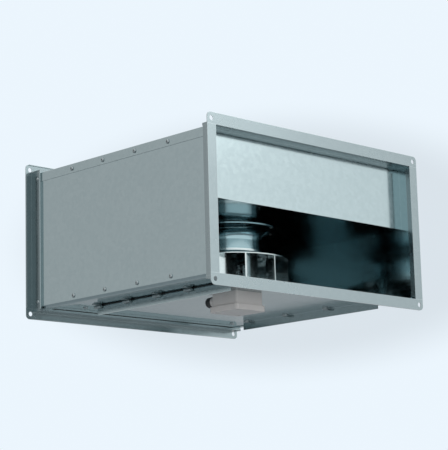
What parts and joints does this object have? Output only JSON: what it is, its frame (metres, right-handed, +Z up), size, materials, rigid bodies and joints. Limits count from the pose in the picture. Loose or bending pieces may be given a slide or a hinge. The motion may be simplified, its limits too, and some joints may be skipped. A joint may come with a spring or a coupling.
{
  "type": "inline duct fan",
  "caption": "Inline duct fan in a flanged rectangular casing: stepped partition, bellmouth, backward-curved impeller on a hinged underside door with a terminal box.",
  "frame": {"origin": "centre of the outlet opening, in the plane of the outlet flange's face, which is also the centre of its four corner holes", "axes": "+X across the duct, to the right when the outlet is looked at from outside; +Y from the outlet through the casing to the inlet; +Z up, with the access door underneath"},
  "size_m": [0.54, 0.49, 0.307],
  "materials": {
    "galvanised_sheet": "spangled galvanised, semi-gloss",
    "zinc_fasteners": "bright zinc plated",
    "hinge_steel": "zinc plated, satin",
    "impeller_steel": "galvanised, satin",
    "rotor_steel": "drawn steel, satin",
    "magnetic_ring": "cast, dull",
    "lamination_steel": "stacked sheet, dull",
    "copper_winding": "enamelled copper wire",
    "cast_foot": "die-cast, matte",
    "bearing_steel": "ground and polished",
    "cage_brass": "pressed, satin",
    "door_foam": "closed-cell foam",
    "box_plastic": "fine-textured moulding",
    "lid_screw_steel": "stainless, satin",
    "block_plastic": "moulded",
    "capacitor_plastic": "smooth",
    "gland_plastic": "moulded nylon",
    "seal_rubber": "matte",
    "lead_sheath": "smooth sheath"
  },
  "bodies": {
    "housing": {"top_cover": "galvanised_sheet", "left_side_panel": "galvanised_sheet", "right_side_panel": "galvanised_sheet", "bottom_tray": "galvanised_sheet", "outlet_flange_top": "galvanised_sheet", "outlet_flange_bottom": "galvanised_sheet", "outlet_flange_left": "galvanised_sheet", "outlet_flange_right": "galvanised_sheet", "inlet_flange_top": "galvanised_sheet", "inlet_flange_bottom": "galvanised_sheet", "inlet_flange_left": "galvanised_sheet", "inlet_flange_right": "galvanised_sheet", "outlet_blank_panel": "galvanised_sheet", "divider_plate": "galvanised_sheet", "inlet_blank_panel": "galvanised_sheet", "inlet_nozzle": "galvanised_sheet", "cover_screws": "zinc_fasteners", "side_screws": "zinc_fasteners", "collar_rivets": "zinc_fasteners", "tray_screws": "zinc_fasteners", "partition_rivets": "zinc_fasteners", "rivet_nuts": "zinc_fasteners", "hinge_leaves": "hinge_steel", "hinge_pins": "hinge_steel"},
    "access_door": {"access_door": "galvanised_sheet", "door_gasket": "door_foam", "door_knuckles": "hinge_steel", "door_screws": "zinc_fasteners", "motor_foot": "cast_foot", "motor_screws": "zinc_fasteners", "stator_stack": "lamination_steel", "stator_windings": "copper_winding", "bearing_outer_rings": "bearing_steel", "terminal_box_base": "box_plastic", "terminal_box_lid": "box_plastic", "lid_screws": "lid_screw_steel", "terminal_block": "block_plastic", "terminal_screws": "zinc_fasteners", "run_capacitor": "capacitor_plastic", "box_screws": "zinc_fasteners", "cable_gland_body": "gland_plastic", "cable_gland_nut": "gland_plastic", "cable_gland_seal": "seal_rubber", "motor_lead": "lead_sheath", "lead_grommet": "seal_rubber"},
    "impeller": {"impeller_blades": "impeller_steel", "impeller_backplate": "impeller_steel", "impeller_shroud": "impeller_steel", "balance_weights": "impeller_steel", "rotor_can": "rotor_steel", "rotor_ring": "magnetic_ring", "motor_shaft": "bearing_steel", "rotor_screws": "zinc_fasteners", "bearing_inner_rings": "bearing_steel"},
    "bearing_cage": {"bearing_balls": "bearing_steel", "bearing_cages": "cage_brass"}
  },
  "joints": [
    {"name": "door_hinge", "type": "hinge", "parent": "housing", "child": "access_door", "pos_m": [-0.1906, 0.26, -0.1296], "axis": [0, 1, 0], "range_deg": [0, 95]},
    {"name": "impeller_spin", "type": "hinge", "parent": "access_door", "child": "impeller", "pos_m": [0, 0.236, -0.09], "axis": [0, 0, 1], "continuous": true},
    {"name": "bearing_cage_spin", "type": "hinge", "parent": "access_door", "child": "bearing_cage", "pos_m": [0, 0.236, -0.09], "axis": [0, 0, 1], "continuous": true}
  ],
  "couplings": [
    {"joint": "bearing_cage_spin", "follows": "impeller_spin", "ratio": 0.3733}
  ]
}
